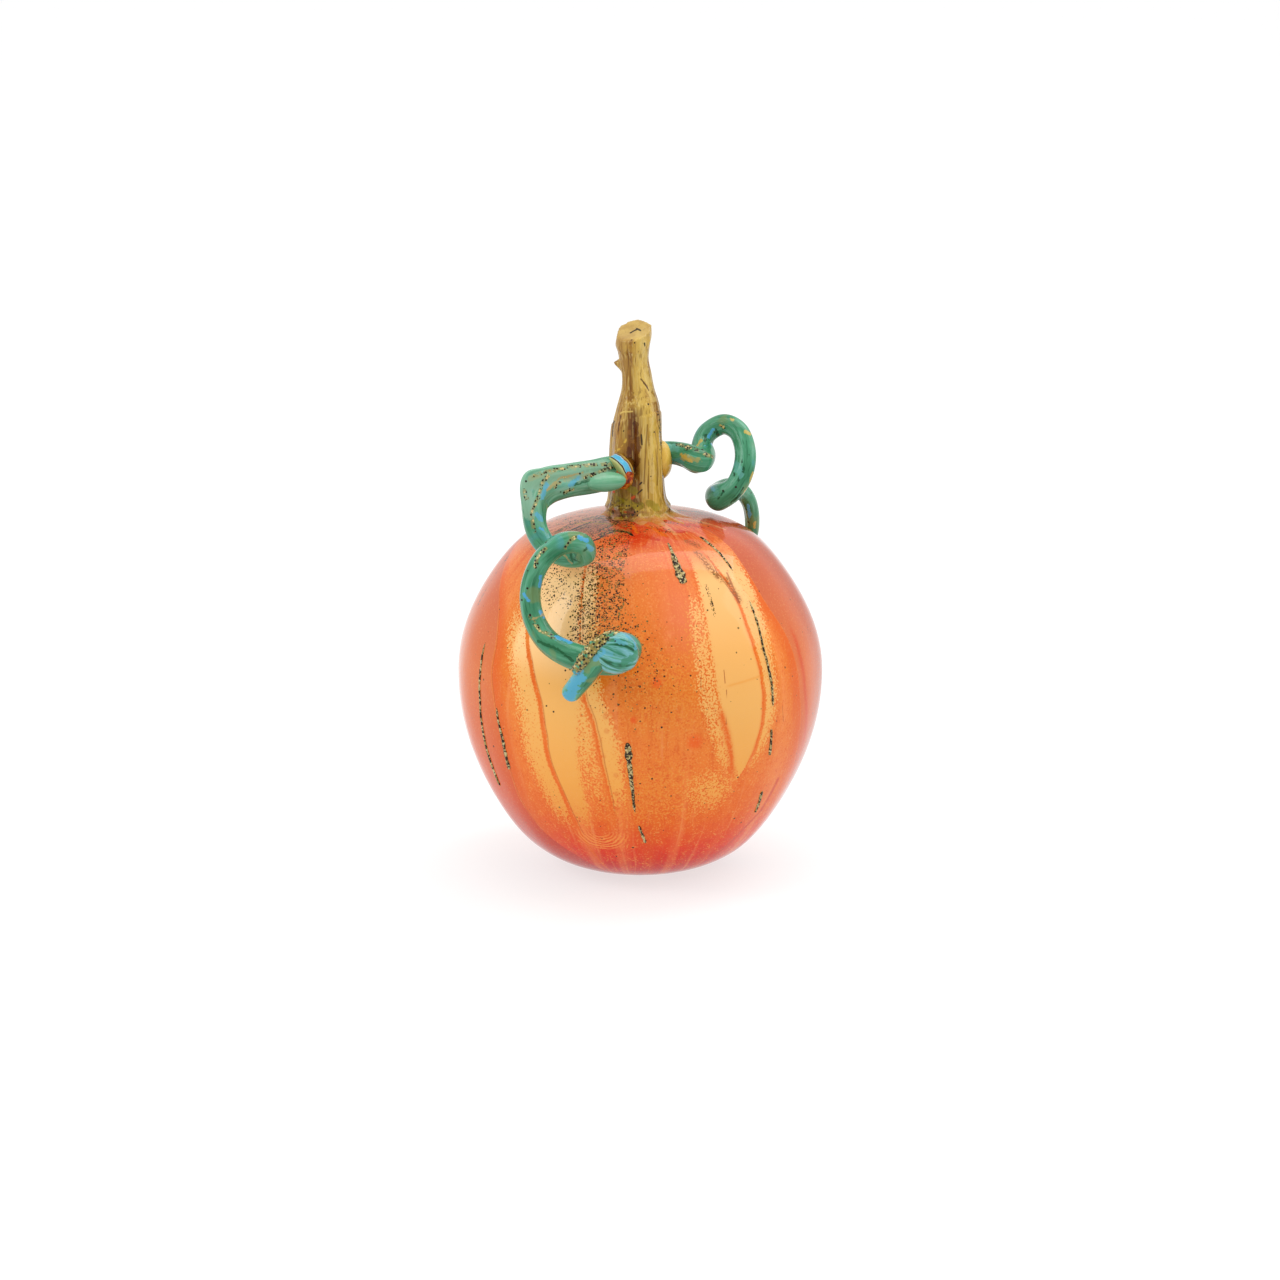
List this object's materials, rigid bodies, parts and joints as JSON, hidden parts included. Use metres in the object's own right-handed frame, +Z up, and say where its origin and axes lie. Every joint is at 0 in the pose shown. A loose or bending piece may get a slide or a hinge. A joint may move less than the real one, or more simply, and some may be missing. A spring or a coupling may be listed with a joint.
{
  "type": "glass pumpkin ornament",
  "caption": "Hollow blown-glass pumpkin with a ribbed orange body, a pulled gold stem and two curling green tendrils, standing on a small flat base.",
  "frame": {"origin": "middle of the small flat base that the pumpkin stands on", "axes": "+Z up through the body to the stem, -Y towards the front where the left tendril hangs, +X to the right"},
  "size_m": [0.15, 0.1779, 0.2284],
  "materials": {
    "amber_orange_glass": "gloss",
    "stem_gold_glass": "satin",
    "sea_green_glass": "gloss",
    "pale_blue_glass": "gloss",
    "red_gold_glass": "gloss",
    "yellow_gold_glass": "gloss",
    "dark_fleck_glass": "satin"
  },
  "bodies": {
    "root": {"body_shell": "amber_orange_glass", "stem": "stem_gold_glass", "left_tendril": "sea_green_glass", "right_tendril": "sea_green_glass", "left_collar": "pale_blue_glass", "left_bead": "red_gold_glass", "right_boss": "yellow_gold_glass", "trail_front_high": "dark_fleck_glass", "trail_front_low": "dark_fleck_glass", "trail_front_foot": "dark_fleck_glass", "trail_right_long": "dark_fleck_glass", "trail_right_mid": "dark_fleck_glass", "trail_right_low": "dark_fleck_glass", "trail_left_long": "dark_fleck_glass", "trail_left_second": "dark_fleck_glass", "trail_shoulder": "dark_fleck_glass"}
  },
  "joints": []
}
